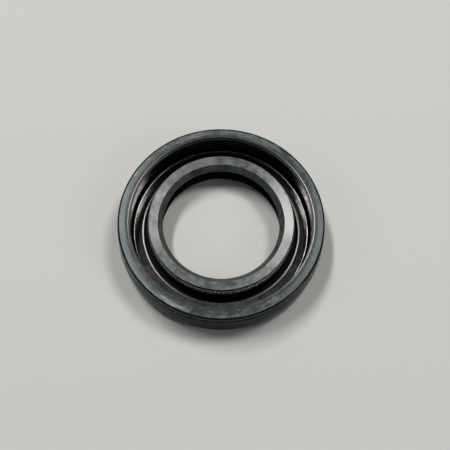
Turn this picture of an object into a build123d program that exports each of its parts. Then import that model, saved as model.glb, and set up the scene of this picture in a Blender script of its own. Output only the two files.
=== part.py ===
from build123d import *
import os
from math import radians, tan

# Radial shaft seal: a rubber moulding bonded over an L-shaped steel case, with a
# garter spring in the groove of its main lip.
# All sizes are in millimetres. The seal's axis is Z and its back face lies on Z = 0,
# so the open side with the spring faces +Z.
# Every section is drawn on the XZ plane, where X is the radius, and turned about Z.

# Sizes that the seal is ordered by
shaft_diameter = 24.0
housing_diameter = 40.0
seal_width = 7.0

# Steel case, pressed from one sheet. Its flange reaches in to the rubber that carries
# the lip, and its bend takes at most this share of the flange.
sheet_thickness = 1.0
case_bend_radius = 0.6
largest_bend_share = 0.8

# Rubber over the case. At the rim it covers the sheet's end, with a small ledge inside.
outer_skin = 1.67
back_skin = 1.0
rim_skin = 0.7
rim_ledge_width = 0.29
rim_ledge_depth = 0.5

# Outside of the rubber, from the back: a lead-in cone, the cylinder that fits the
# housing, a front cone, and a lower band with a chamfer at the rim
lead_in_width = 0.45
lead_in_height = 1.3
fit_width = 1.9
front_cone_drop = 0.25
band_step = 0.1
band_width = 1.6
band_draft = 0.03
rim_chamfer_width = 0.33
rim_chamfer_depth = 0.25

# Main sealing lip, set out from the shaft and from the front of the seal
lip_interference = 0.79
lip_edge_depth = 2.24
lip_land = 0.2
lip_front_angle = 42.0
lip_back_angle = 26.0
lip_face_drop = 0.87
lip_face_dish = 0.28

# Garter spring, and the rubber round its groove
spring_coil_diameter = 1.36
spring_clearance = 0.03
spring_set_back = 0.14
wall_inside_spring = 1.58
groove_overhang = 0.3
groove_tip_reach = 0.7
groove_tip_drop = 0.64
groove_tip_thickness = 0.28

# Neck that carries the lip, and the valley between the neck and the case
neck_waist = 1.1
neck_waist_drop = 0.57
neck_waist_radius = 0.35
neck_flare = 1.0
valley_width = 0.9
valley_radius = 0.6

# Dust lip, the pocket in front of it and the groove behind it
dust_lip_interference = 0.3
dust_lip_land = 0.2
dust_lip_height = 0.3
pocket_height = 1.2
pocket_radius = 0.25
dust_lip_root_width = 0.95
back_groove_width = 0.85
back_groove_depth = 0.8
back_groove_radius = 0.25

# Radii and heights of the main lip's edge and face
lip_edge = shaft_diameter / 2 - lip_interference
lip_edge_height = seal_width - lip_edge_depth
land_top = lip_edge_height + lip_land / 2
land_bottom = lip_edge_height - lip_land / 2
lip_face_high = seal_width - lip_face_drop
lip_face_low = lip_face_high - lip_face_dish
lip_face_inner = lip_edge + (lip_face_low - land_top) * tan(radians(lip_front_angle))

# Radii and heights of the spring and of the rubber round it
coil_radius = spring_coil_diameter / 2
groove_radius = coil_radius + spring_clearance
spring_ring = lip_edge + wall_inside_spring + groove_radius
spring_height = lip_edge_height - spring_set_back
lip_face_outer = spring_ring + groove_overhang
groove_tip = spring_ring + groove_tip_reach
groove_tip_top = spring_height - groove_tip_drop
groove_tip_bottom = groove_tip_top - groove_tip_thickness

# Radii and heights of the neck, the valley, the pocket and the dust lip
waist = groove_tip - neck_waist
waist_height = groove_tip_bottom - neck_waist_drop
valley_inner = waist + neck_flare
pocket = lip_edge + (land_bottom - pocket_height) * tan(radians(lip_back_angle))
dust_edge = shaft_diameter / 2 - dust_lip_interference
dust_top = dust_lip_height + dust_lip_land
back_groove = pocket + dust_lip_root_width
back_inner = back_groove + back_groove_width

# Radii and heights of the case
housing_radius = housing_diameter / 2
case_outer = housing_radius - outer_skin
case_inner = case_outer - sheet_thickness
case_bottom = back_skin
case_top = seal_width - rim_skin
flange_top = case_bottom + sheet_thickness
flange_inner = valley_inner + valley_width
case_bend = min(case_bend_radius, largest_bend_share * (case_inner - flange_inner))
mid_wall = case_inner + sheet_thickness / 2
mid_flange = case_bottom + sheet_thickness / 2

# Radii and heights of the rubber's outside
rim_inner = case_inner + rim_ledge_width
rim_ledge = seal_width - rim_ledge_depth
fit_top = lead_in_height + fit_width
front_cone_end = housing_radius - front_cone_drop
band_outer = front_cone_end - band_step
band_bottom = seal_width - band_width
band_top = seal_width - rim_chamfer_depth

# The case's section: a flange and a wall of one thickness, joined by a round bend
case_corners = [
    (flange_inner, case_bottom, 0),
    (case_outer, case_bottom, case_bend + sheet_thickness),
    (case_outer, case_top, 0),
    (case_inner, case_top, 0),
    (case_inner, flange_top, case_bend),
    (flange_inner, flange_top, 0),
]

# The rubber's section runs round the back, up the outside, over the rim, down the
# middle of the case's sheet, through the valley, up and round the lip, and back down
# past the pocket and the dust lip. The case and the spring's groove are cut out of it.
rubber_corners = [
    (back_inner, 0, 0),
    (housing_radius - lead_in_width, 0, 0),
    (housing_radius, lead_in_height, 0),
    (housing_radius, fit_top, 0),
    (front_cone_end, band_bottom, 0),
    (band_outer, band_bottom, 0),
    (band_outer - band_draft, band_top, 0),
    (band_outer - band_draft - rim_chamfer_width, seal_width, 0),
    (rim_inner, seal_width, 0),
    (rim_inner, rim_ledge, 0),
    (case_inner, rim_ledge, 0),
    (case_inner, case_top, 0),
    (mid_wall, case_top - sheet_thickness / 2, 0),
    (mid_wall, mid_flange, case_bend + sheet_thickness / 2),
    (flange_inner, mid_flange, 0),
    (valley_inner, mid_flange, valley_radius),
    (waist, waist_height, neck_waist_radius),
    (groove_tip, groove_tip_bottom, 0),
    (groove_tip, groove_tip_top, 0),
    (lip_face_outer, groove_tip_top, 0),
    (lip_face_outer, lip_face_high, 0),
    (lip_face_inner, lip_face_low, 0),
    (lip_edge, land_top, 0),
    (lip_edge, land_bottom, 0),
    (pocket, pocket_height, pocket_radius),
    (dust_edge, dust_top, 0),
    (dust_edge, dust_lip_height, 0),
    (back_groove, back_groove_depth, back_groove_radius),
]


def corner_points(corners):
    return [(radius, height) for radius, height, rounding in corners]


def corner_roundings(corners):
    return [rounding for radius, height, rounding in corners]


# Pressed steel case
with BuildPart() as metal_case:
    with BuildSketch(Plane.XZ) as case_section:
        with BuildLine():
            FilletPolyline(
                *corner_points(case_corners),
                radius=corner_roundings(case_corners),
                close=True,
            )
        make_face()
    revolve(axis=Axis.Z)

# Rubber moulding with its main lip and dust lip
with BuildPart() as seal_body:
    with BuildSketch(Plane.XZ) as rubber_section:
        with BuildLine():
            FilletPolyline(
                *corner_points(rubber_corners),
                radius=corner_roundings(rubber_corners),
                close=True,
            )
        make_face()
        add(case_section.sketch_local, mode=Mode.SUBTRACT)
        with Locations((spring_ring, spring_height)):
            Circle(groove_radius, mode=Mode.SUBTRACT)
    revolve(axis=Axis.Z)

# Garter spring: a closed ring of the coils' outer size
with BuildPart() as garter_spring:
    with BuildSketch(Plane.XZ) as spring_section:
        with Locations((spring_ring, spring_height)):
            Circle(coil_radius)
    revolve(axis=Axis.Z)

os.makedirs("parts", exist_ok=True)

metal_case.part.label = "metal_case"
export_step(metal_case.part, "parts/metal_case.step")

seal_body.part.label = "seal_body"
export_step(seal_body.part, "parts/seal_body.step")

garter_spring.part.label = "garter_spring"
export_step(garter_spring.part, "parts/garter_spring.step")
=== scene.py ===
import math

import bmesh
import bpy
from mathutils import Matrix, Quaternion, Vector


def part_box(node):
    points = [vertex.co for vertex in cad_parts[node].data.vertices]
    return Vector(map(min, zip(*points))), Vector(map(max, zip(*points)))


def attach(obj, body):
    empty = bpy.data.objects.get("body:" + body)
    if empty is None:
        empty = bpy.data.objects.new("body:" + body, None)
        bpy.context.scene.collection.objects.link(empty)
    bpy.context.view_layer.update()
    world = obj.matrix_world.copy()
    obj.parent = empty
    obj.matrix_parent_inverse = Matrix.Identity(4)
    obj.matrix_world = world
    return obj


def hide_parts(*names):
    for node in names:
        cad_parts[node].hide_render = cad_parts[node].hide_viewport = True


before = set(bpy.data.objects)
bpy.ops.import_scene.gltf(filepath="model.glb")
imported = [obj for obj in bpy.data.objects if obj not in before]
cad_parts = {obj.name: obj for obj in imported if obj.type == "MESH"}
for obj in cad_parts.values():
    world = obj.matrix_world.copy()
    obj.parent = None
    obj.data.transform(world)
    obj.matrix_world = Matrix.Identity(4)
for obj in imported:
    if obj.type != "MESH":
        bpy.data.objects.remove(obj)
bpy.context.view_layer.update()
mm = 0.001
print("frame loaded:", ", ".join(sorted(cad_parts)))


# Shader arithmetic: a wrapped socket that can be added, multiplied and so on.

class Wire:
    def __init__(self, finish, socket):
        self.finish = finish
        self.socket = socket

    def join(self, operation, first, second=None):
        sockets = {0: first} if second is None else {0: first, 1: second}
        return self.finish.node("Math", {"operation": operation}, sockets).take(0)

    def __add__(self, other):
        return self.join("ADD", self, other)

    def __radd__(self, other):
        return self.join("ADD", other, self)

    def __sub__(self, other):
        return self.join("SUBTRACT", self, other)

    def __rsub__(self, other):
        return self.join("SUBTRACT", other, self)

    def __mul__(self, other):
        return self.join("MULTIPLY", self, other)

    def __rmul__(self, other):
        return self.join("MULTIPLY", other, self)

    def __truediv__(self, other):
        return self.join("DIVIDE", self, other)

    def __pow__(self, other):
        return self.join("POWER", self, other)

    def __abs__(self):
        return self.join("ABSOLUTE", self)


class Made:
    def __init__(self, finish, node):
        self.finish = finish
        self.node = node

    def take(self, name):
        return Wire(self.finish, self.node.outputs[name])


class Finish:
    def __init__(self, tree, owner=None):
        self.tree = tree
        self.owner = owner
        tree.nodes.clear()

    # One way to add any node: its settings come first, then the values or links of its sockets.
    def node(self, kind, settings=None, sockets=None):
        node = self.tree.nodes.new("ShaderNode" + kind)
        for name, value in (settings or {}).items():
            setattr(node, name, value)
        for name, value in (sockets or {}).items():
            if isinstance(value, Wire):
                self.tree.links.new(value.socket, node.inputs[name])
            else:
                node.inputs[name].default_value = value
        return Made(self, node)

    # Place on a ring round Z, in millimetres: radius, height and the heading as a unit vector.
    def ringPlace(self):
        place = self.node("TexCoord").take("Object")
        scaled = self.node("VectorMath", {"operation": "SCALE"}, {0: place, "Scale": 1 / mm}).take(0)
        split = self.node("SeparateXYZ", {}, {0: scaled})
        x, y, z = split.take(0), split.take(1), split.take(2)
        radius = (x * x + y * y) ** 0.5
        return scaled, radius, z, x / radius, y / radius

    def pack(self, x, y, z):
        return self.node("CombineXYZ", {}, {0: x, 1: y, 2: z}).take(0)

    def noise(self, vector, scale, detail, rough, warp=0.0):
        sockets = {"Vector": vector, "Scale": scale, "Detail": detail, "Roughness": rough, "Distortion": warp}
        return self.node("TexNoise", {}, sockets).take(0)

    # Value remapped from one range to another with soft ends.
    def ease(self, value, low, high, start=0.0, end=1.0):
        sockets = {0: value, 1: low, 2: high, 3: start, 4: end}
        return self.node("MapRange", {"interpolation_type": "SMOOTHSTEP"}, sockets).take(0)

    def blend(self, factor, first, second):
        settings = {"data_type": "RGBA", "blend_type": "MIX", "clamp_factor": True}
        return self.node("Mix", settings, {0: factor, 6: first, 7: second}).take(2)

    # 1 near one heading of the ring (degrees clockwise from the far side), 0 away from it.
    def near(self, headX, headY, degrees, halfWidth, soft):
        aim = math.radians(degrees)
        along = headX * math.sin(aim) + headY * math.cos(aim)
        return self.ease(along, math.cos(math.radians(halfWidth + soft)), math.cos(math.radians(halfWidth)))

    # The shader itself, with a bump of the given height pattern, strength and depth in millimetres.
    def finishWith(self, sockets, pattern=None, strength=0.0, depth=0.0):
        if pattern is not None:
            relief = {"Strength": strength, "Distance": depth * mm, "Height": pattern}
            sockets["Normal"] = self.node("Bump", {}, relief).take(0)
        shader = self.node("BsdfPrincipled", {}, sockets).take(0)
        self.node("OutputMaterial", {}, {"Surface": shader})
        return self.owner


def newMaterial(name):
    material = bpy.data.materials.new(name)
    material.use_nodes = True
    return Finish(material.node_tree, material)


# Nitrile rubber: one recipe, with a look for the rim, the outside, the inside, the lip's cone and the edges.
# The patterns are shared by all of them. Sizes are in millimetres.

rubberPatterns = {
    "cloud": {"scale": 0.62, "detail": 6.0, "rough": 0.68, "warp": 0.8},
    "patch": {"scale": 0.22, "detail": 2.0, "rough": 0.5},
    "smear": {"scale": 1.0, "detail": 5.0, "rough": 0.68},
    "smearRun": (11.0, 0.7, 2.6),            # how fast smears change round the ring, aslant and across it
    "hatch": {"scale": 1.0, "detail": 2.0, "rough": 0.5},
    "hatchRun": (70.0, 0.7),                 # the same for fine hatching, round the ring and across it
    "grain": {"scale": 9.0, "detail": 3.0, "rough": 0.65},
    "filmParts": (0.45, 0.1, 0.45),          # shares of cloud, patch and smear
    "filmEdges": (0.41, 0.58),
    "filmLeast": 0.08,
    "filmTexture": (0.72, 0.28),             # plain share, and the share of hatch and of grain
    "darkerInwardWander": 1.2,
    "markFade": (0.2, 1.1, 1.3),             # inner and outer angle and half width, as shares of a mark's own
    "markRagged": (2.2, 1.2),                # how much smear and grain tear a mark's outline
    "markEdges": (0.25, 0.95),
    "speckScale": 0.6,
    "speckChance": (0.62, 1.0),
    "speckSize": 0.055,
    "speckEdge": 0.010,
    "bumpParts": (0.6, 1.5, 0.3),            # shares of grain, cloud and hatch
    "bumpDepth": 0.02,
}
rimRubber = {
    "name": "rimRubber",
    "black": (0.008, 0.012, 0.013, 1.0),
    "film": (0.086, 0.103, 0.105, 1.0),      # the grey film that moulded nitrile sweats out
    "filmShare": 1.0,
    "dust": (0.60, 0.60, 0.56, 1.0),
    "dustShare": 0.8,
    "roughness": (0.30, 0.44),
    "specular": 0.3,
    "tint": (0.90, 0.98, 1.0, 1.0),
    "bump": 0.3,
    "darkerInward": (17.75, 18.95, 0.15),            # the rim grows darker towards its inner edge: film cut to the third value at the first radius, full from the second
    "chalkAndHighlight": (0.23, 0.248, 0.245, 1.0),
    # heading, half angle, radius, half width, share: dark where the film is rubbed off, pale where it is
    # thick or chalky; the pale marks at 205, 219 and 232 degrees are a painted highlight of the left lamp on
    # the rim
    "marks": (
        (190.0, 7.0, 18.5, 0.75, -0.55), (205.0, 9.0, 18.85, 0.65, 0.70), (208.6, 1.3, 18.55, 0.45, -0.6),
        (219.0, 6.5, 19.0, 0.30, 0.35), (255.0, 11.0, 18.0, 0.40, -0.35), (297.0, 1.6, 19.0, 0.30, 0.7),
        (312.0, 2.6, 18.1, 0.30, -0.6), (330.0, 0.75, 18.45, 0.22, 0.7), (340.0, 4.0, 18.5, 0.45, 0.2),
        (5.0, 3.2, 18.5, 0.50, -0.55), (18.0, 1.0, 18.1, 0.25, -0.5), (26.5, 0.35, 18.9, 0.11, 1.0),
        (36.5, 3.6, 18.9, 0.40, -0.5), (60.0, 9.0, 18.50, 0.75, -0.7), (74.0, 0.4, 18.9, 0.13, 0.9),
        (92.0, 1.3, 18.2, 0.35, -0.6), (103.0, 6.5, 18.05, 0.35, -0.45), (125.0, 1.0, 18.3, 0.20, -0.5),
        (147.0, 2.6, 18.4, 0.50, 0.2), (174.0, 9.0, 18.3, 0.80, -0.6),
        (137.0, 9.0, 18.2, 0.60, -0.5), (330.0, 1.4, 18.45, 0.42, -0.5), (283.0, 5.0, 18.2, 0.35, -0.4),
        (350.0, 6.0, 18.2, 0.40, -0.4), (45.0, 6.0, 18.2, 0.40, -0.4), (160.0, 5.0, 18.6, 0.40, -0.35),
        (10.0, 30.0, 18.6, 0.90, 0.22), (338.0, 16.0, 18.6, 0.90, 0.16), (232.0, 14.0, 19.0, 0.45, 0.25),
    ),
}
skinRubber = {
    "name": "skinRubber",
    "black": (0.0026, 0.0029, 0.0042, 1.0),
    "film": (0.0105, 0.0115, 0.0145, 1.0),
    "filmShare": 0.8,
    "dust": (0.16, 0.16, 0.16, 1.0),
    "dustShare": 0.3,
    "roughness": (0.05, 0.14),
    "specular": 0.05,
    "tint": (0.62, 0.70, 0.92, 1.0),
    "bump": 0.06,
}
# Rubber of the gap, the groove and the bore: its near-black colour, darker than the rim's, is painted shade
# of these recesses; its matte roughness is its own finish.
innerRubberPaintedShade = {
    "name": "innerRubberPaintedShade",
    "black": (0.0025, 0.0025, 0.0034, 1.0),
    "film": (0.006, 0.006, 0.008, 1.0),
    "filmShare": 0.5,
    "dust": (0.10, 0.10, 0.10, 1.0),
    "dustShare": 0.2,
    "roughness": (0.55, 0.70),
    "specular": 0.05,
    "tint": (0.80, 0.85, 1.0, 1.0),
    "bump": 0.08,
}
coneRubber = {
    "name": "coneRubber",
    "black": (0.014, 0.016, 0.017, 1.0),
    "film": (0.050, 0.058, 0.059, 1.0),
    "filmShare": 1.0,
    "dust": (0.40, 0.40, 0.38, 1.0),
    "dustShare": 0.4,
    "roughness": (0.36, 0.50),
    "specular": 0.4,
    "tint": (0.90, 0.98, 1.0, 1.0),
    "bump": 0.2,
}
edgeRubber = {
    "name": "edgeRubber",
    "black": (0.008, 0.008, 0.009, 1.0),
    "film": (0.030, 0.033, 0.034, 1.0),
    "filmShare": 0.6,
    "dust": (0.40, 0.40, 0.38, 1.0),
    "dustShare": 0.4,
    "roughness": (0.28, 0.36),
    "specular": 0.8,
    "tint": (1.0, 1.0, 1.0, 1.0),
    "bump": 0.1,
}


def makeRubber(look):
    finish = newMaterial(look["name"])
    own = rubberPatterns
    place, radius, _, headX, headY = finish.ringPlace()
    around, aslant, across = own["smearRun"]
    slant = finish.pack(headX * around + radius * aslant, headY * around - radius * aslant, radius * across)
    around, across = own["hatchRun"]
    stripes = finish.pack(headX * around, headY * around, radius * across)
    cloud = finish.noise(place, **own["cloud"])
    patch = finish.noise(place, **own["patch"])
    smear = finish.noise(slant, **own["smear"])
    hatch = finish.noise(stripes, **own["hatch"])
    grain = finish.noise(place, **own["grain"])

    # the grey film: how much of it lies where
    cloudShare, patchShare, smearShare = own["filmParts"]
    film = finish.ease(cloud * cloudShare + patch * patchShare + smear * smearShare, *own["filmEdges"])
    plain, textured = own["filmTexture"]
    film = film * (1 - own["filmLeast"]) + own["filmLeast"]
    film = film * (plain + hatch * textured + grain * textured) * look["filmShare"]
    # the rim is darker towards its inner edge
    if "darkerInward" in look:
        start, end, least = look["darkerInward"]
        film = film * finish.ease(radius + (cloud - 0.5) * own["darkerInwardWander"], start, end, least, 1.0)

    # single marks, rubbed or chalky, and some pale ones a painted highlight
    chalkAndHighlight = 0.0
    innerFade, outerFade, widthFade = own["markFade"]
    smearTear, grainTear = own["markRagged"]
    for heading, halfAngle, middle, halfWidth, share in look.get("marks", ()):
        beside = finish.ease(abs(radius - middle), 0.0, halfWidth * widthFade, 1.0, 0.0)
        spot = finish.near(headX, headY, heading, halfAngle * innerFade, halfAngle * outerFade) * beside
        spot = spot + (smear - 0.5) * smearTear + (grain - 0.5) * grainTear
        spot = finish.ease(spot, *own["markEdges"]) * abs(share)
        if share < 0:
            film = film * (1.0 - spot)
        else:
            chalkAndHighlight = spot + chalkAndHighlight
    colour = finish.blend(film, look["black"], look["film"])
    # pale marks: chalk specks, and at the lower left of the rim a painted highlight
    if "chalkAndHighlight" in look:
        colour = finish.blend(chalkAndHighlight, colour, look["chalkAndHighlight"])

    # dust: small round specks
    specks = finish.node("TexVoronoi", {"feature": "F1"}, {"Vector": place, "Scale": own["speckScale"]})
    chance = finish.node("SeparateXYZ", {}, {0: specks.take("Color")}).take(0)
    size = finish.ease(chance, *own["speckChance"], 0.0, own["speckSize"])
    edge = own["speckEdge"]
    speck = finish.ease(specks.take("Distance") - size, -edge, edge, 1.0, 0.0)
    colour = finish.blend(speck * look["dustShare"], colour, look["dust"])

    sockets = {
        "Base Color": colour,
        "Roughness": finish.ease(film, 0.0, 1.0, *look["roughness"]),
        "Specular IOR Level": look["specular"],
        "Specular Tint": look["tint"],
    }
    grainShare, cloudShare, hatchShare = own["bumpParts"]
    relief = grain * grainShare + cloud * cloudShare + hatch * hatchShare
    return finish.finishWith(sockets, relief, look["bump"], own["bumpDepth"])


# The trimmed face of the lip: cut with a turning knife, so its grain runs round the ring.

lipFaceLook = {
    "cut": (0.027, 0.034, 0.035, 1.0),
    "worn": (0.083, 0.100, 0.099, 1.0),
    "roughness": (0.26, 0.38),
    "anisotropy": 0.5,
    "specular": 1.2,
    "linesRun": (6.0, 7.0),              # how fast the knife's lines change round the ring and across it
    "lines": {"scale": 1.0, "detail": 4.0, "rough": 0.6},
    "cloud": {"scale": 0.7, "detail": 5.0, "rough": 0.62, "warp": 0.4},
    "wearParts": (0.6, 0.4),             # shares of cloud and lines
    "wearEdges": (0.38, 0.62),
    "roughEdges": (0.36, 0.64),
    # heading, half angle, soft edge, share: where handling has smeared the cut face dull
    "smears": ((322.0, 9.0, 26.0, 1.0), (278.0, 6.0, 18.0, 0.7), (112.0, 4.0, 12.0, 0.35)),
    "smearEdges": (0.30, 0.55),
    "smearLeast": 0.4,
    "smearRoughness": 0.30,
    "smearDarkness": 0.9,
    "bump": (0.25, 0.01),                # strength and depth
}


def makeLipFace(look):
    finish = newMaterial("trimmedRubber")
    place, radius, _, headX, headY = finish.ringPlace()
    around, across = look["linesRun"]
    lines = finish.noise(finish.pack(headX * around, headY * around, radius * across), **look["lines"])
    cloud = finish.noise(place, **look["cloud"])
    cloudShare, linesShare = look["wearParts"]
    wear = cloud * cloudShare + lines * linesShare
    colour = finish.blend(finish.ease(wear, *look["wearEdges"]), look["cut"], look["worn"])
    rough = finish.ease(wear, *look["roughEdges"], *look["roughness"])
    uneven = finish.ease(cloud, *look["smearEdges"], look["smearLeast"], 1.0)
    for heading, halfAngle, soft, share in look["smears"]:
        smear = finish.near(headX, headY, heading, halfAngle, soft) * uneven * share
        colour = finish.blend(smear * look["smearDarkness"], colour, look["cut"])
        rough = rough + smear * look["smearRoughness"]
    sockets = {
        "Base Color": colour,
        "Roughness": rough,
        "Specular IOR Level": look["specular"],
        "Anisotropic": look["anisotropy"],
        "Anisotropic Rotation": 0.25,    # a quarter turn: grooves run round the ring
    }
    return finish.finishWith(sockets, lines, *look["bump"])


# Drawn steel of the case under a dark brown bonding film. The draw marks run across the ring.

caseLook = {
    "steel": (0.094, 0.091, 0.084, 1.0),
    "film": (0.052, 0.052, 0.054, 1.0),
    "stain": (0.012, 0.012, 0.013, 1.0),
    "roughness": (0.14, 0.20),
    "anisotropy": 0.60,
    "drawnRun": (42.0, 0.5),             # how fast draw marks change round the ring and along the sheet
    "drawn": {"scale": 1.0, "detail": 4.0, "rough": 0.65},
    "cloud": {"scale": 0.45, "detail": 4.0, "rough": 0.55, "warp": 0.4},
    "filmEdges": (0.38, 0.62),
    # where draw marks are closest: heading, half angle, soft edge, gain
    "hatched": (140.0, 5.0, 12.0, 0.10),
    "stainEdges": (0.58, 0.66),
    "stainShare": 0.85,
    "roughEdges": (0.3, 0.7),
    "bump": (0.03, 0.006),
}


def makeCase(look):
    finish = newMaterial("drawnSteel")
    place, radius, height, headX, headY = finish.ringPlace()
    around, along = look["drawnRun"]
    run = finish.pack(headX * around, headY * around, radius * along + height * along)
    drawn = finish.noise(run, **look["drawn"])
    cloud = finish.noise(place, **look["cloud"])
    colour = finish.blend(finish.ease(cloud, *look["filmEdges"]), look["steel"], look["film"])
    heading, halfAngle, soft, gain = look["hatched"]
    hatched = finish.near(headX, headY, heading, halfAngle, soft)
    scratch = finish.ease(drawn + hatched * gain, *look["stainEdges"])
    colour = finish.blend(scratch * look["stainShare"], colour, look["stain"])
    sockets = {
        "Base Color": colour,
        "Roughness": finish.ease(drawn, *look["roughEdges"], *look["roughness"]),
        "Metallic": 1.0,
        "Anisotropic": look["anisotropy"],
        "Anisotropic Rotation": 0.0,     # grooves run across the ring
    }
    return finish.finishWith(sockets, drawn, *look["bump"])


# Bright spring wire, oiled

springLook = {
    "steel": (0.95, 0.97, 1.0, 1.0),
    "oil": (0.80, 0.82, 0.85, 1.0),
    "paintedLipShade": (0.02, 0.02, 0.022, 1.0),
    "paintedLipShadeHeights": (5.16, 5.26),       # painted shade: the wire is darkened from these heights up, where the groove's upper lip shades it
    "paintedLipShadeShare": 0.9,
    "roughness": (0.36, 0.48),
    "cloud": {"scale": 1.6, "detail": 4.0, "rough": 0.6},
    "fine": {"scale": 12.0, "detail": 3.0, "rough": 0.6},
    "oilParts": (0.7, 0.3),              # shares of cloud and fine
    "oilEdges": (0.36, 0.68),
    "roughEdges": (0.3, 0.7),
    "bump": (0.2, 0.004),
}


def makeSpringSteel(look):
    finish = newMaterial("springWire")
    place, _, height, _, _ = finish.ringPlace()
    cloud = finish.noise(place, **look["cloud"])
    fine = finish.noise(place, **look["fine"])
    cloudShare, fineShare = look["oilParts"]
    oiled = finish.ease(cloud * cloudShare + fine * fineShare, *look["oilEdges"])
    colour = finish.blend(oiled, look["steel"], look["oil"])
    # painted shade: the top of the wire, under the lip's overhang, is darkened in its colour
    lipShadeMask = finish.ease(height, *look["paintedLipShadeHeights"])
    colour = finish.blend(lipShadeMask * look["paintedLipShadeShare"], colour, look["paintedLipShade"])
    rough = finish.ease(fine, *look["roughEdges"], *look["roughness"])
    sockets = {"Base Color": colour, "Roughness": rough, "Metallic": 1.0}
    return finish.finishWith(sockets, fine, *look["bump"])


# Sections are drawn in the XZ plane as corners (radius, height, rounding), all in millimetres.

ringSteps = 256
bendSteps = 12                       # faces round the case's bend
cornerSteps = 6                      # faces round each of the rubber's corners
grooveSteps = 20
mergeReach = 0.0005                  # millimetres
sharpAngle = 38                      # degrees


# Closed outline through the corners. After one of them it may run round an arc in place of a straight line.
def startSection(corners, arc=None):
    section = bmesh.new()
    joints = [section.verts.new((radius * mm, 0, height * mm)) for radius, height, _ in corners]
    links = list(zip(joints, joints[1:] + joints[:1]))
    for index, (first, second) in enumerate(links):
        if arc is not None and index == arc["after"]:
            swing = bmesh.ops.spin(section, geom=[first], cent=arc["centre"], axis=(0, 1, 0), dvec=(0, 0, 0),
                                   angle=arc["angle"], steps=arc["steps"], use_duplicate=False)
            last = [part for part in swing["geom_last"] if isinstance(part, bmesh.types.BMVert)][0]
            bmesh.ops.weld_verts(section, targetmap={last: second})
        else:
            section.edges.new((first, second))
    return section, joints


def roundCorners(section, joints, corners, steps):
    for joint, (_, _, rounding) in zip(joints, corners):
        if rounding == 0:
            continue
        ends = [edge.other_vert(joint).co - joint.co for edge in joint.link_edges]
        inside = ends[0].angle(ends[1])
        setBack = rounding * mm / math.tan(inside / 2)
        bmesh.ops.bevel(section, geom=[joint], offset=setBack, offset_type="OFFSET", segments=steps,
                        profile=0.5, affect="VERTICES", material=-1, clamp_overlap=False)


def spinRound(section, name):
    bmesh.ops.spin(section, geom=section.verts[:] + section.edges[:], cent=(0, 0, 0), axis=(0, 0, 1),
                   dvec=(0, 0, 0), angle=2 * math.pi, steps=ringSteps, use_merge=True,
                   use_normal_flip=False, use_duplicate=False)
    bmesh.ops.remove_doubles(section, verts=section.verts[:], dist=mergeReach * mm)
    bmesh.ops.recalc_face_normals(section, faces=section.faces[:])
    for face in section.faces:
        face.smooth = True
    mesh = bpy.data.meshes.new(name)
    section.to_mesh(mesh)
    section.free()
    piece = bpy.data.objects.new(name, mesh)
    bpy.context.scene.collection.objects.link(piece)
    mesh.set_sharp_from_angle(angle=math.radians(sharpAngle))
    flats = piece.modifiers.new("flatShading", "WEIGHTED_NORMAL")
    flats.mode = "FACE_AREA"
    flats.keep_sharp = True
    return piece


def boxInMm(node):
    low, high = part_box(node)
    return [value / mm for value in low], [value / mm for value in high]


_, bodyHigh = boxInMm("seal_body")
caseLow, caseHigh = boxInMm("metal_case")
springLow, springHigh = boxInMm("garter_spring")

metalCase = {
    "outerRadius": caseHigh[0],
    "bottom": caseLow[2],
    "top": caseHigh[2],
    "sheet": 1.0,
    "flangeRadius": 15.0,
    "bendRadius": 0.6,
}


def caseCorners(values):
    outer = values["outerRadius"]
    inner = outer - values["sheet"]
    low = values["bottom"]
    high = values["top"]
    floor = low + values["sheet"]
    return [(values["flangeRadius"], low, 0), (outer, low, values["bendRadius"] + values["sheet"]),
            (outer, high, 0), (inner, high, 0),
            (inner, floor, values["bendRadius"]), (values["flangeRadius"], floor, 0)]


caseSection = caseCorners(metalCase)
shape, joints = startSection(caseSection)
roundCorners(shape, joints, caseSection, bendSteps)
casePiece = spinRound(shape, "metalCase")
casePiece.data.materials.append(makeCase(caseLook))
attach(casePiece, "root")
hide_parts("metal_case")
print("case:", len(casePiece.data.polygons), "faces")

sealBody = {
    "outerRadius": bodyHigh[0],
    "width": bodyHigh[2],
    "leadIn": (0.45, 1.3),           # width and height of the cone at the back
    "fitTop": 3.2,
    "frontCone": 0.25,
    "bandStep": 0.1,
    "bandWidth": 1.6,
    "bandDraft": 0.03,
    "rimChamfer": (0.33, 0.25),
    "rimCrown": (1.0, 0.085),        # how far in the rim is highest, and how far its outer edge drops
    "crownBend": (0.4, 0.5),         # where the arch bends, as shares of those two
    "rimInnerRadius": 17.52,
    "rimTrim": (0.19, 0.056),        # width and fall of the trimmed strip round the rim's inner edge
    "rimTrimEdge": (0.02, 0.06),     # width and height of the chamfer below it
    "ledgeHeight": 6.5,
    "valleyRadius": 14.1,
    "valleyHeight": 1.5,
    "neckRadius": 13.10,
    "neckHeight": 3.13,
    "tipRadius": 14.20,
    "tipHeights": (3.70, 3.98),
    "faceOuterRadius": 13.80,
    "faceHigh": 6.13,
    "faceInnerRadius": 12.10,
    "faceLow": 5.85,
    "sealingRadius": 11.21,
    "sealingHeights": (4.66, 4.86),
    "pocketRadius": 12.897,
    "pocketHeight": 1.2,
    "dustRadius": 11.7,
    "dustHeights": (0.3, 0.5),
    "backGrooveRadius": 13.85,
    "backGrooveDepth": 0.8,
    "backFaceRadius": 14.7,
    "springClearance": 0.03,
    # the thin rubber bead that ends on the flange, set out from the flange's inner edge and top
    "bead": {
        "width": 0.34,
        "edge": 0.004,
        "sink": 0.01,
        "crest": (0.08, 0.032),
        "nose": (0.06, 0.03),
        "wall": 0.08,
    },
    "roundings": {
        "step": 0.02,
        "fine": 0.03,
        "small": 0.05,
        "worn": 0.06,
        "blunt": 0.08,
        "soft": 0.10,
        "bead": 0.2,
        "groove": 0.25,
        "waist": 0.35,
        "valley": 0.6,
        "leadIn": 0.6,
        "fit": 0.8,
        "crownOuter": 1.2,
        "crownInner": 1.5,
    },
}


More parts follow.
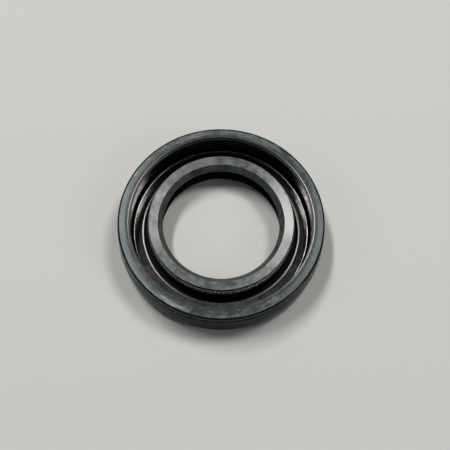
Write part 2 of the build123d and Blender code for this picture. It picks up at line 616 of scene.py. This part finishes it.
# Where a circle cuts the straight line from start to end, in order along that line
def crossings(centre, reach, start, end):
    run = (end[0] - start[0], end[1] - start[1])
    off = (start[0] - centre[0], start[1] - centre[1])
    a = run[0] ** 2 + run[1] ** 2
    b = 2 * (off[0] * run[0] + off[1] * run[1])
    c = off[0] ** 2 + off[1] ** 2 - reach ** 2
    root = math.sqrt(b * b - 4 * a * c)
    shares = ((-b - root) / (2 * a), (-b + root) / (2 * a))
    return [(start[0] + run[0] * share, start[1] + run[1] * share) for share in shares]


def bodyCorners(values):
    outer = values["outerRadius"]
    width = values["width"]
    leadWidth, leadHeight = values["leadIn"]
    coneEnd = outer - values["frontCone"]
    bandLow = width - values["bandWidth"]
    band = coneEnd - values["bandStep"]
    chamferWidth, chamferDepth = values["rimChamfer"]
    rimOuter = band - values["bandDraft"] - chamferWidth
    crownIn, crownDrop = values["rimCrown"]
    bendIn, bendDrop = values["crownBend"]
    rim = values["rimInnerRadius"]
    ledge = values["ledgeHeight"]
    trimWidth, trimFall = values["rimTrim"]
    trimIn, trimDrop = values["rimTrimEdge"]
    bead = values["bead"]
    crestIn, crestRise = bead["crest"]
    noseOut, noseDrop = bead["nose"]
    rounding = values["roundings"]
    case = metalCase
    caseInner = case["outerRadius"] - case["sheet"]
    flange = case["flangeRadius"]
    flangeTop = case["bottom"] + case["sheet"]
    coil = (springHigh[2] - springLow[2]) / 2
    centre = (springHigh[0] - coil, (springHigh[2] + springLow[2]) / 2)
    reach = coil + values["springClearance"]
    tip = values["tipRadius"]
    tipLow, tipHigh = values["tipHeights"]
    face = values["faceOuterRadius"]
    low = crossings(centre, reach, (centre[0], tipHigh), (tip, tipHigh))[1]
    high = crossings(centre, reach, (face, centre[1]), (face, values["faceHigh"]))[1]
    corners = [
        (values["backFaceRadius"], 0, rounding["blunt"]),
        (outer - leadWidth, 0, rounding["soft"]),
        (outer, leadHeight, rounding["leadIn"]),
        (outer, values["fitTop"], rounding["fit"]),
        (coneEnd, bandLow, rounding["fine"]),
        (band, bandLow, rounding["step"]),
        (band - values["bandDraft"], width - chamferDepth, rounding["blunt"]),
        (rimOuter, width - crownDrop, rounding["small"]),
        (rimOuter - crownIn * bendIn, width - crownDrop * bendDrop, rounding["crownOuter"]),
        (rimOuter - crownIn, width, rounding["crownInner"]),
        (rim + trimIn + trimWidth, width, rounding["soft"]),
        (rim + trimIn, width - trimFall, rounding["small"]),
        (rim, width - trimFall - trimDrop, rounding["fine"]),
        (rim, ledge, rounding["small"]),
        (caseInner, ledge, rounding["small"]),
        (caseInner, case["top"], 0),
        (case["outerRadius"], case["top"], 0),
        (case["outerRadius"], case["bottom"], case["bendRadius"] + case["sheet"]),
        (flange, case["bottom"], 0),
        (flange, flangeTop - bead["sink"], 0),
        (flange + bead["width"], flangeTop - bead["sink"], 0),
        (flange + bead["width"], flangeTop + bead["edge"], 0),
        (flange + crestIn, flangeTop + crestRise, rounding["bead"]),
        (flange - noseOut, flangeTop - noseDrop, rounding["small"]),
        (flange - bead["wall"], values["valleyHeight"], 0),
        (values["valleyRadius"], values["valleyHeight"], rounding["valley"]),
        (values["neckRadius"], values["neckHeight"], rounding["waist"]),
        (tip, tipLow, rounding["soft"]),
        (tip, tipHigh, rounding["worn"]),
        (low[0], low[1], 0),
        (high[0], high[1], 0),
        (face, values["faceHigh"], rounding["fine"]),
        (values["faceInnerRadius"], values["faceLow"], rounding["worn"]),
        (values["sealingRadius"], values["sealingHeights"][1], rounding["small"]),
        (values["sealingRadius"], values["sealingHeights"][0], rounding["small"]),
        (values["pocketRadius"], values["pocketHeight"], rounding["groove"]),
        (values["dustRadius"], values["dustHeights"][1], rounding["small"]),
        (values["dustRadius"], values["dustHeights"][0], rounding["small"]),
        (values["backGrooveRadius"], values["backGrooveDepth"], rounding["groove"]),
    ]
    start = math.atan2(low[1] - centre[1], low[0] - centre[0])
    end = math.atan2(high[1] - centre[1], high[0] - centre[0])
    # The groove runs round the inner side of the spring, from its lower lip to its upper lip.
    turn = 2 * math.pi - (end - start)
    arc = {"after": corners.index((low[0], low[1], 0)), "centre": (centre[0] * mm, 0, centre[1] * mm),
           "angle": turn, "steps": grooveSteps}
    return corners, arc


# Which finish each face of the rubber gets: how level it has to be, and how far a zone reaches past a size
finishZones = {
    "levelFace": 0.9,
    "levelRim": 0.93,
    "levelBead": 0.3,
    "reach": 0.05,
    "ledgeWidth": 0.3,
    "trimReach": 0.03,
    "beadReach": (0.07, 1.0),
    "beadHeight": 0.2,
}


def finishPlace(face, values, zones):
    reach = math.hypot(face.center.x, face.center.y) / mm
    height = face.center.z / mm
    level = face.normal.z
    rim = values["rimInnerRadius"]
    flange = metalCase["flangeRadius"]
    trimEnd = rim + zones["trimReach"] + values["rimTrim"][0]
    beadIn, beadOut = zones["beadReach"]
    if level > zones["levelFace"] and values["faceInnerRadius"] < reach < values["faceOuterRadius"]:
        return "lipFace" if height > values["faceLow"] else "inner"
    if reach < values["faceInnerRadius"] and height > values["sealingHeights"][0]:
        return "lipCone"
    if rim - zones["ledgeWidth"] < reach < trimEnd and height > values["ledgeHeight"] - zones["reach"]:
        return "edges"
    beadLow = values["valleyHeight"] + zones["beadHeight"]
    if flange - beadIn < reach < flange + beadOut and height > beadLow and level > zones["levelBead"]:
        return "edges"
    if reach > rim and level > zones["levelRim"]:
        return "rim"
    if reach > metalCase["outerRadius"] or height < values["backGrooveDepth"] - zones["reach"]:
        return "outside"
    return "inner"


bodySection, groove = bodyCorners(sealBody)
shape, joints = startSection(bodySection, groove)
roundCorners(shape, joints, bodySection, cornerSteps)
bodyPiece = spinRound(shape, "sealBody")
rubberFinishes = {
    "inner": makeRubber(innerRubberPaintedShade),
    "rim": makeRubber(rimRubber),
    "outside": makeRubber(skinRubber),
    "lipFace": makeLipFace(lipFaceLook),
    "lipCone": makeRubber(coneRubber),
    "edges": makeRubber(edgeRubber),
}
for finish in rubberFinishes.values():
    bodyPiece.data.materials.append(finish)
finishNames = list(rubberFinishes)
for face in bodyPiece.data.polygons:
    face.material_index = finishNames.index(finishPlace(face, sealBody, finishZones))
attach(bodyPiece, "root")
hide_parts("seal_body")
print("rubber:", len(bodyPiece.data.polygons), "faces")

garterSpring = {
    "turns": 177,
    "wire": 0.35,
    "stepsPerTurn": 18,
    "jointHeading": 262.0,          # degrees clockwise from the far side
    "nibTurns": 4,                  # one end tapers and screws into the other
    "nibRadius": 0.24,
    "taperTurns": 1.2,
    "taperLead": 0.4,               # the taper starts this many turns before the ring closes
    "wireResolution": 2,
}


def coilPoints(values):
    coil = (springHigh[2] - springLow[2]) / 2
    ring = springHigh[0] - coil
    middle = (springHigh[2] + springLow[2]) / 2
    wind = coil - values["wire"] / 2
    pitch = 2 * math.pi / values["turns"]
    total = values["turns"] + values["nibTurns"]
    points = []
    for step in range(int(total * values["stepsPerTurn"]) + 1):
        turn = step / values["stepsPerTurn"]
        past = (turn - values["turns"] + values["taperLead"]) / values["taperTurns"]
        shrink = min(max(past, 0.0), 1.0)
        reach = wind + (values["nibRadius"] - wind) * shrink * shrink * (3 - 2 * shrink)
        heading = math.radians(values["jointHeading"]) + turn * pitch
        roll = 2 * math.pi * turn
        out = ring + reach * math.cos(roll)
        up = middle + reach * math.sin(roll)
        points.append(Vector((out * math.sin(heading), out * math.cos(heading), up)) * mm)
    return points


def windSpring(values):
    points = coilPoints(values)
    wire = bpy.data.curves.new("springPath", "CURVE")
    wire.dimensions = "3D"
    wire.bevel_depth = values["wire"] / 2 * mm
    wire.bevel_resolution = values["wireResolution"]
    wire.use_fill_caps = True
    line = wire.splines.new("POLY")
    line.points.add(len(points) - 1)
    for target, point in zip(line.points, points):
        target.co = (*point, 1)
    holder = bpy.data.objects.new("springPath", wire)
    bpy.context.scene.collection.objects.link(holder)
    bpy.context.view_layer.update()
    mesh = bpy.data.meshes.new_from_object(holder)
    bpy.data.objects.remove(holder)
    mesh.name = "garterSpring"
    piece = bpy.data.objects.new("garterSpring", mesh)
    bpy.context.scene.collection.objects.link(piece)
    for face in mesh.polygons:
        face.use_smooth = True
    return piece


springPiece = windSpring(garterSpring)
springPiece.data.materials.clear()
springPiece.data.materials.append(makeSpringSteel(springLook))
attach(springPiece, "root")
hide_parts("garter_spring")
print("spring:", len(springPiece.data.polygons), "faces")

# The studio: a plain pale floor, soft lamps and a plain room, all in metres.

floorLook = {
    "size": 0.8,
    "paint": (0.53, 0.53, 0.518, 1.0),
    "roughness": 0.9,
    "specular": 0.1,
}


def layFloor(values):
    shape = bmesh.new()
    bmesh.ops.create_grid(shape, x_segments=1, y_segments=1, size=values["size"] / 2)
    mesh = bpy.data.meshes.new("studioFloor")
    shape.to_mesh(mesh)
    shape.free()
    floor = bpy.data.objects.new("studioFloor", mesh)
    bpy.context.scene.collection.objects.link(floor)
    finish = newMaterial("paleFloor")
    sockets = {
        "Base Color": values["paint"],
        "Roughness": values["roughness"],
        "Specular IOR Level": values["specular"],
    }
    mesh.materials.append(finish.finishWith(sockets))


layFloor(floorLook)

# Lamps face the origin.
lamps = {
    "lampLeft": {
        "from": (-0.337, 0.374, 0.880),
        "size": (0.099, 0.484),
        "watts": 7.02,
        "colour": (1.0, 0.99, 0.95),
    },
    "lampNearRight": {
        "from": (0.761, -0.308, 0.554),
        "size": (0.352, 0.220),
        "watts": 1.15,
        "colour": (1.0, 1.0, 1.0),
    },
    "lampNearLeft": {
        "from": (-0.803, -0.172, 0.554),
        "size": (0.352, 0.220),
        "watts": 0.60,
        "colour": (1.0, 1.0, 1.0),
    },
    "lampRight": {
        "from": (0.352, 0.308, 0.880),
        "size": (0.264, 0.264),
        "watts": 4.45,
        "colour": (1.0, 0.98, 0.94),
    },
}


def hangLamp(name, values):
    data = bpy.data.lights.new(name, "AREA")
    data.shape = "RECTANGLE"
    data.size, data.size_y = values["size"]
    data.energy = values["watts"]
    data.color = values["colour"]
    lamp = bpy.data.objects.new(name, data)
    place = Vector(values["from"])
    down = place.normalized()
    across = Vector((0, 1, 0)).cross(down).normalized()
    along = down.cross(across)
    lamp.matrix_world = Matrix.Translation(place) @ Matrix((across, along, down)).transposed().to_4x4()
    bpy.context.scene.collection.objects.link(lamp)


for lampName, lampValues in lamps.items():
    hangLamp(lampName, lampValues)

# The room is dim overhead and pale low down, behind the floor's far edge.
room = {
    "ceiling": (0.046, 0.054, 0.060, 1.0),
    "walls": (0.50, 0.50, 0.49, 1.0),
    "wallTop": (0.06, 0.22),             # sines of the heights where the walls start and end fading
}


def openRoom(values):
    world = bpy.data.worlds.new("studioRoom")
    world.use_nodes = True
    bpy.context.scene.world = world
    air = Finish(world.node_tree)
    way = air.node("SeparateXYZ", {}, {0: air.node("TexCoord").take("Generated")}).take(2)
    low, high = values["wallTop"]
    colour = air.blend(air.ease(way, low, high), values["walls"], values["ceiling"])
    air.node("OutputWorld", {}, {"Surface": air.node("Background", {}, {"Color": colour}).take(0)})


openRoom(room)
print("floor, lamps and room ready")

cameraPlace = {
    "eye": (0.0, -52.08, 128.715),      # millimetres
    "aim": (0.717, -1.259, 7.0),
    "roll": 2.872,                      # degrees
    "lens": 56.0,
    "sensor": 36.0,
    "clip": (0.01, 10.0),               # metres
}


def placeCamera(values):
    data = bpy.data.cameras.new("viewCamera")
    data.lens = values["lens"]
    data.sensor_width = values["sensor"]
    data.clip_start, data.clip_end = values["clip"]
    camera = bpy.data.objects.new("viewCamera", data)
    eye = Vector(values["eye"]) * mm
    look = Vector(values["aim"]) * mm - eye
    turn = look.to_track_quat("-Z", "Y") @ Quaternion((0, 0, 1), math.radians(values["roll"]))
    camera.matrix_world = Matrix.Translation(eye) @ turn.to_matrix().to_4x4()
    bpy.context.scene.collection.objects.link(camera)
    bpy.context.scene.camera = camera


placeCamera(cameraPlace)
bpy.context.scene.view_settings.view_transform = "Standard"
print("camera placed")
